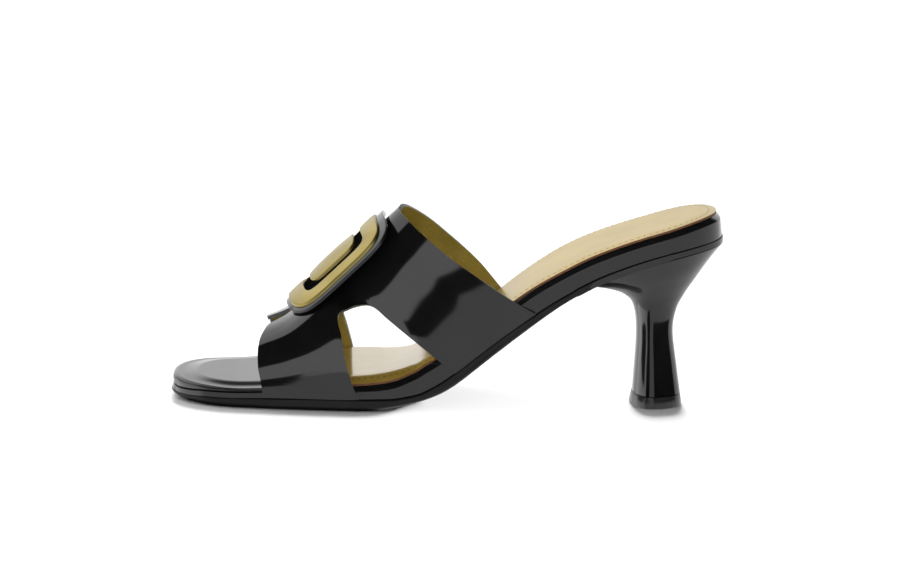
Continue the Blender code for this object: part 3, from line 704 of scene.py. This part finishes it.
upper_patent = patent_finish("upper_patent", 0.07, 0.05)
lining_leather, wire = finish_of("lining_leather")
where = wire.node("ShaderNodeTexCoord", {}, {}, "Object")
lining_cloud = noise(wire, where, 60)
lining_pores = noise(wire, where, 1500, 4.0)
lining_rise = wire.node("ShaderNodeSeparateXYZ", {}, {"Vector": where}, "Z")
# The lining's colour mixes a random tone of the leather with painted shade: it is drawn darker up towards
# the crest inside the strap and paler down towards the sole.
lining_tone_and_shade = lining_cloud * 0.5 + lining_pores * 0.5 + (0.058 - lining_rise) * 14
lining_shades = [(0.35, (0.46, 0.38, 0.085)), (0.65, (0.72, 0.60, 0.17)), (1.0, (1.0, 0.86, 0.28))]
lining_colour = wire.node("ShaderNodeValToRGB", {"stops": lining_shades}, {"Fac": lining_tone_and_shade})
lining_bump = relief(wire, 0.15, 0.0002, lining_pores)
surface(wire, {"Base Color": lining_colour, "Metallic": 0.6, "Roughness": 0.42 + 0.1 * lining_pores,
               "Normal": lining_bump})

# The inked edges are painted a dark grey rather than black, which is a painted highlight along the rounded
# cut edges over their black ink.
edge_ink_and_highlight, wire = finish_of("edge_ink_and_highlight")
where = wire.node("ShaderNodeTexCoord", {}, {}, "Object")
ink_grain = noise(wire, where, 1800, 3.0)
ink_highlight_colour = tone(wire, (0.07, 0.07, 0.072), (0.11, 0.11, 0.112), ink_grain)
surface(wire, {"Base Color": ink_highlight_colour, "Roughness": 0.3 + 0.1 * ink_grain})
bm = bmesh.new()
for side in (-1.0, 1.0):
    lay(bm, 30, above_rows + below_rows, lambda u, v: front_strap(u, v, side))
    lay(bm, 64, above_rows, lambda u, v: over_bay(u, v, side))
    lay(bm, 36, above_rows + below_rows, lambda u, v: rear_strap(u, v, side))
close(bm)
top_face = max(bm.faces, key=lambda face: face.calc_center_median().z)
if top_face.normal.z < 0:
    bmesh.ops.reverse_faces(bm, faces=bm.faces)
upper = dress(bm, "upper_patent", [upper_patent, lining_leather, edge_ink_and_highlight], "upper", 60)
wall = upper.modifiers.new("wall", "SOLIDIFY")
wall.thickness = upper_wall * 0.001
wall.offset = -1.0
wall.material_offset = 1
wall.material_offset_rim = 2
rim = upper.modifiers.new("inked_edge", "BEVEL")
rim.width = 0.0004
rim.segments = 3
rim.limit_method = "ANGLE"
rim.angle_limit = math.radians(50)
rim.harden_normals = True

# Ornament: a black enamelled plate bent over the instep, with a gold frame and a domed gold
# cushion set on it. Prongs through the upper hold it, and its rear end stands a little off.
plate_length, plate_width, plate_bend, plate_tilt = 55.2, 47.0, 47.0, math.radians(45)
plate_squareness, hole_squareness, plate_forward = 4.8, 7.0, 2.8
base_thickness, gold_thickness, cushion_dome = 1.3, 1.0, 0.6
base_round, boss_round, frame_round, hole_round, frame_crown = 0.5, 0.5, 0.9, 0.3, 0.12
frame_inset, frame_inset_end, frame_forward = 1.8, 2.8, 0.8
frame_bar, frame_bar_end, slot_width = 5.6, 8.4, 4.0
window_half_length = (plate_length - frame_bar_end) / 2 - frame_inset_end
window_half_width, window_facing = 17, 0.5
plate_x, _, plate_z = crest(0.5 * (crest_run[1] + crest_run[-1]) - plate_forward)
base_size = (plate_length, plate_width, plate_squareness)


def plate_sag(y):
    """Drop of the bent plate at y across it."""
    return plate_bend - np.sqrt(plate_bend ** 2 - y * y)


def plate_reach(turn, length, width, squareness):
    """Radius of a cushion outline at an angle round it."""
    c, q = np.abs(np.cos(turn)) / (length / 2), np.abs(np.sin(turn)) / (width / 2)
    return (c ** squareness + q ** squareness) ** (-1 / squareness)


def on_plate(x, z):
    """Place along the tilted plate, and height off it, of a point in the side view."""
    along = (x - plate_x) * math.cos(plate_tilt) + (z - plate_z) * math.sin(plate_tilt)
    off = -(x - plate_x) * math.sin(plate_tilt) + (z - plate_z) * math.cos(plate_tilt)
    return along, off


def plate_clearance():
    """Lift that takes the plate clear of the highest leather under it."""
    grid = np.meshgrid(np.linspace(45, 165, 61), np.arange(0.0, 52.0, 2.0), (-1.0, 1.0))
    x, y, z = upper_spot(*[axis.ravel() for axis in grid])
    along, off = on_plate(x, z)
    under = np.hypot(along, y) < plate_reach(np.arctan2(y, along), *base_size)
    return max(0.0, float(np.max((off + plate_sag(y))[under]))) + layer_gap


plate_lift = plate_clearance()


def plate_skin(rows, outer, inner=None, forward=0.0):
    """Skin of a bent plate, from rows of share of the way to the hole or middle, inset and height."""
    rows = np.array(rows, float)

    def shape(u, v):
        share, inset, height = at_row(rows, v)
        turn = 2 * math.pi * u
        hole = plate_reach(turn, *inner) if inner else 0.0
        inset = inset if inner else inset * (1 - share)
        reach = plate_reach(turn, *outer) * (1 - share) + hole * share - inset
        along, y = reach * np.cos(turn) - forward, reach * np.sin(turn)
        off = plate_lift + height - plate_sag(y)
        x = plate_x + along * math.cos(plate_tilt) - off * math.sin(plate_tilt)
        z = plate_z + along * math.sin(plate_tilt) + off * math.cos(plate_tilt)
        return in_frame(x, y, z)

    return skin(192, len(rows) - 1, shape)


def rounded(share, top, radius, inward, count=6):
    """Rows of a rounded edge from a side up to the top, running inward or outward."""
    turns_up = [math.pi / 2 * k / count for k in range(count + 1)]
    return [(share, inward * radius * (1 - math.cos(a)), top - radius * (1 - math.sin(a))) for a in turns_up]


enamel, wire = finish_of("ornament_enamel")
where = wire.node("ShaderNodeTexCoord", {}, {}, "Object")
enamel_wave = noise(wire, where, 120)
enamel_colour = tone(wire, (0.006, 0.006, 0.0065), (0.009, 0.009, 0.0098), enamel_wave)
surface(wire, {"Base Color": enamel_colour, "Roughness": 0.08 + 0.05 * enamel_wave, "IOR": 1.55})
window_black, wire = finish_of("window_black")
where = wire.node("ShaderNodeTexCoord", {}, {}, "Object")
window_grain = noise(wire, where, 900, 3.0)
window_colour = tone(wire, (0.0035, 0.0035, 0.004), (0.006, 0.006, 0.0065), window_grain)
surface(wire, {"Base Color": window_colour, "Roughness": 0.6 + 0.2 * window_grain,
               "Specular IOR Level": 0.0})
base_rows = [(1, 0, 0), (0.5, 0, 0), (0, 0.8, 0), (0, 0.25, 0.12), (0, 0, 0.4)]
base_rows += rounded(0, base_thickness, base_round, 1)
base_rows += [(0, 1.0, base_thickness)]
base_rows += [(k / 10, 1.4 * (1 - k / 10), base_thickness - hair_gap * min(k, 1)) for k in range(11)]
base_skin = plate_skin(base_rows, base_size)
base_skin.normal_update()
for face in base_skin.faces:
    x, y, z = face.calc_center_median() * 1000
    along, _ = on_plate(x + frame_shift_x, z)
    facing = face.normal.z * math.cos(plate_tilt) - face.normal.x * math.sin(plate_tilt)
    inside = abs(along + frame_forward) < window_half_length and abs(y + frame_shift_y) < window_half_width
    face.material_index = int(facing > window_facing and inside)
dress(base_skin, "ornament_plate", [enamel, window_black], "ornament_base")


def gold_finish(name):
    """Gold plated metal with fine lines brushed along the plate."""
    made, wire = finish_of(name)
    where = wire.node("ShaderNodeTexCoord", {}, {}, "Object")
    turned = wire.node("ShaderNodeMapping", {}, {"Vector": where, "Rotation": (0, plate_tilt, 0),
                                                 "Scale": (60, 2600, 900)})
    lines = noise(wire, turned, 1.0, 3.0)
    cloud = noise(wire, where, 90)
    colour = tone(wire, (0.30, 0.235, 0.075), (0.36, 0.29, 0.105), cloud)
    bump = relief(wire, 0.12, 0.00008, lines)
    surface(wire, {"Base Color": colour, "Metallic": 1.0, "Roughness": 0.28 + 0.1 * lines, "Normal": bump})
    return made


ornament_gold = gold_finish("ornament_gold")
frame_size = (plate_length - 2 * frame_inset_end, plate_width - 2 * frame_inset, plate_squareness)
hole_size = (frame_size[0] - 2 * frame_bar_end, frame_size[1] - 2 * frame_bar, hole_squareness)
boss_size = (hole_size[0] - 2 * slot_width, hole_size[1] - 2 * slot_width, plate_squareness)
gold_foot = base_thickness + hair_gap
gold_top = base_thickness + layer_gap + gold_thickness
frame_rows = [(0, 0, gold_foot)] + rounded(0, gold_top - frame_crown, frame_round, 1)
for k in range(1, 10):
    inset = frame_round * (1 - k / 10) - hole_round * k / 10
    frame_rows.append((k / 10, inset, gold_top - frame_crown * (1 - k / 5) ** 2))
frame_rows += rounded(1, gold_top - frame_crown, hole_round, -1)[::-1]
frame_rows += [(1, 0, gold_foot), (0, 0, gold_foot)]
frame_skin = plate_skin(frame_rows, frame_size, hole_size, frame_forward)
dress(frame_skin, "ornament_ring", [ornament_gold], "ornament_frame")
boss_gold = gold_finish("boss_gold")
boss_rows = [(1, 0, gold_foot), (0.5, 0, gold_foot), (0, 0, gold_foot)]
boss_rows += rounded(0, gold_top, boss_round, 1)
for k in range(1, 17):
    boss_rows.append((k / 16, boss_round, gold_top + cushion_dome * (1 - (1 - k / 16) ** 2)))
boss_skin = plate_skin(boss_rows, boss_size, None, frame_forward)
dress(boss_skin, "ornament_cushion", [boss_gold], "ornament_boss")

# Studio: a plain pale floor in a white tent, with a wide light above, a low light from behind and
# a hidden sheet under the ball that throws the contact shadow. Dark cards that only the gloss
# shows give it dark edges, and a dark sheet under the forefoot is painted shade for the floor in
# the sole's shadow. The camera stands off the inner side of the shoe.
def stage_sheet(name, shape, look, columns=1):
    """A sheet of the studio, which is no piece of the shoe."""
    bm = bmesh.new()
    lay(bm, columns, 1, shape)
    sheet = new_object(bm, name, [look])
    return sheet


def hide_from(sheet, *rays):
    """Takes a sheet out of the sight of some kinds of ray."""
    for ray in rays:
        setattr(sheet, "visible_" + ray, False)


def matt_finish(name, level):
    made, wire = finish_of(name)
    surface(wire, {"Base Color": (level, level, level, 1), "Roughness": 1.0, "Specular IOR Level": 0.0})
    return made


floor_reach = 6.0
ball_end, ball_fade, ball_curve, ball_limit = 74, 32, 40, 104
screen_x, screen_y, screen_radius, screen_height = 0.089, -0.0027, 0.1, 0.030
screen_from, screen_to = 18, 102
flag_from, flag_to, flag_across, flag_height, flag_low = 0.017, 0.070, -0.050, 0.034, 0.35


def floor_shape(u, v):
    return np.stack([u - 0.5, v - 0.5, 0 * u], -1) * 2 * floor_reach


def under_sole(height, grow):
    """A level sheet in the outline of the forefoot, rounded off behind the ball."""
    def shape(u, v):
        behind_ball = np.clip(along_rim(u) - ball_end, 0, ball_fade)
        s, y = sole_ring(u, behind_ball ** 2 / ball_curve - grow, v)
        s = np.minimum(s, ball_limit)
        return in_frame(np.interp(s, steps, spine_x), y, height + 0 * s)
    return shape


def beside_heel(u, v):
    """A low screen that bends round the rear of the heel, well away from it."""
    turn = np.radians(screen_from + (screen_to - screen_from) * u)
    x, y = screen_x + screen_radius * np.sin(turn), screen_y - screen_radius * np.cos(turn)
    return np.stack([x, y, screen_height * v], -1)


def beside_arch(u, v):
    """An upright flag off the inner side of the arch, taller towards the heel."""
    height = flag_height * (flag_low + (1 - flag_low) * u)
    return np.stack([flag_from + (flag_to - flag_from) * u, flag_across + 0 * u, height * v], -1)


pale_floor = stage_sheet("studio_floor", floor_shape, matt_finish("pale_floor", 0.85))
hide_from(pale_floor, "glossy")
flag_and_shade_black = matt_finish("flag_and_shade_black", 0.004)
# The first sheet is painted shade: a dark sheet just above the floor under the forefoot, seen only in the
# gloss, that stands for the floor in the sole's shadow.
gloss_only_sheets = [stage_sheet("shade_under_sole", under_sole(0.2, 3.0), flag_and_shade_black, 160),
         stage_sheet("flag_heel", beside_heel, flag_and_shade_black, 24),
         stage_sheet("flag_front", beside_arch, flag_and_shade_black)]
for gloss_sheet in gloss_only_sheets:
    hide_from(gloss_sheet, "camera", "diffuse", "transmission", "shadow")
forefoot_shade = stage_sheet("forefoot_shade", under_sole(3.2, 0.0), flag_and_shade_black, 160)
hide_from(forefoot_shade, "camera", "diffuse", "glossy", "transmission")
lit_floor = bpy.data.collections.new("lit_floor")
lit_floor.objects.link(pale_floor)
near_floor = bpy.data.collections.new("near_floor")
for piece in (forefoot_shade, bpy.data.objects["lift_piece"]):
    near_floor.objects.link(piece)


def floor_light(name, kind, energy):
    """A light that falls on the floor alone and is not seen in the gloss."""
    lamp = bpy.data.objects.new(name, bpy.data.lights.new(name, kind))
    lamp.data.energy = energy
    hide_from(lamp, "glossy")
    bpy.context.scene.collection.objects.link(lamp)
    lamp.light_linking.receiver_collection = lit_floor
    return lamp


overhead = floor_light("studio_light", "AREA", 40.0)
overhead.data.size = 7.0
overhead.location = (0.0, 0.0, 2.2)
behind = floor_light("contact_light", "SUN", 12.0)
behind.data.angle = math.radians(18)
behind.rotation_euler = (math.radians(-76), 0.0, 0.0)
behind.light_linking.blocker_collection = near_floor

tent = bpy.data.worlds.new("studio_tent")
bpy.context.scene.world = tent
tent.use_nodes = True
tent.node_tree.nodes.clear()
wire = Wire(tent.node_tree)
seen = wire.node("ShaderNodeTexCoord", {}, {}, "Generated")
tent_x, tent_y, tent_z = (wire.node("ShaderNodeSeparateXYZ", {}, {"Vector": seen}, axis) for axis in "XYZ")
tent_rise = wire.sum("ARCSINE", tent_z, 0.0) * (180 / math.pi)
tent_turn = wire.sum("ARCTAN2", tent_x, 0.0 - tent_y) * (180 / math.pi)


def beyond(value, place, soft):
    """Nought before a place in the tent and one beyond it, with a soft edge."""
    return wire.node("ShaderNodeMapRange", {"interpolation_type": "SMOOTHSTEP"},
                     {"Value": value, "From Min": place - soft, "From Max": place + soft})


tent_panels = {
    "left": (-181, -48, -32.3, -12.2, -170, -181, 140, -181, 140, -150, -150, -140),
    "right": (181, -4, 10, -4, -145, -164, 181, -164, 181, -70, -108, -60),
    "low": (-91, 7.5, 15.7, 10, 8, -20, -20, 18, 18, 22, 46, -45),
    "high": (17, 40, 39, 18.7, 74, 30, 30, 30, 30, 48, 74, 5),
    "soft": (1.0, 0.7, 0.7, 0.7, 3.0, 4.0, 6.0, 3.0, 3.0, 1.5, 2.0, 4.0),
    "glow": (0.95, 0.02, 1.6, 0.02, 1.4, 1.15, 1.15, 1.4, 1.4, 1.7, 1.7, 1.9),
}
glow = wire.node("ShaderNodeValue")
glow.socket.default_value = 0.03
for left, right, low, high, soft, level in zip(*tent_panels.values()):
    within = beyond(tent_turn, left, soft) * (1 - beyond(tent_turn, right, soft))
    within = within * beyond(tent_rise, low, soft) * (1 - beyond(tent_rise, high, soft))
    glow = glow + within * (level - glow)
camera_ray = wire.node("ShaderNodeLightPath", {}, {}, "Is Camera Ray")
glow = glow + camera_ray * (1 - glow)
backdrop = wire.node("ShaderNodeBackground", {}, {"Color": (1, 1, 1, 1), "Strength": glow})
wire.node("ShaderNodeOutputWorld", {}, {"Surface": backdrop})

picture_width, picture_height, film_width = 900, 576, 36.0
aim = Vector((-0.001 * frame_shift_x, -0.001 * frame_shift_y, 0.040))
aim_pixel = (447.5, 303.4)
azimuth, elevation, roll = math.radians(-2.5), math.radians(10.8), math.radians(2.1)
stand_off, pixel = 1.9, 0.00042
back = Vector((math.sin(azimuth) * math.cos(elevation), -math.cos(azimuth) * math.cos(elevation),
               math.sin(elevation)))
level = Vector((0, 0, 1)).cross(back).normalized()
upright = back.cross(level)
right = level * math.cos(roll) + upright * math.sin(roll)
top = upright * math.cos(roll) - level * math.sin(roll)
lens = bpy.data.cameras.new("studio_camera")
lens.sensor_width = film_width
lens.lens = stand_off / pixel * film_width / picture_width
lens.shift_x = (picture_width / 2 - aim_pixel[0]) / picture_width
lens.shift_y = (aim_pixel[1] - picture_height / 2) / picture_width
lens.clip_end = 50
camera = bpy.data.objects.new("studio_camera", lens)
camera_turn = Matrix((right, top, back)).transposed().to_4x4()
camera.matrix_world = Matrix.Translation(aim + back * stand_off) @ camera_turn
bpy.context.scene.collection.objects.link(camera)
bpy.context.scene.camera = camera
bpy.context.scene.view_settings.view_transform = "Standard"
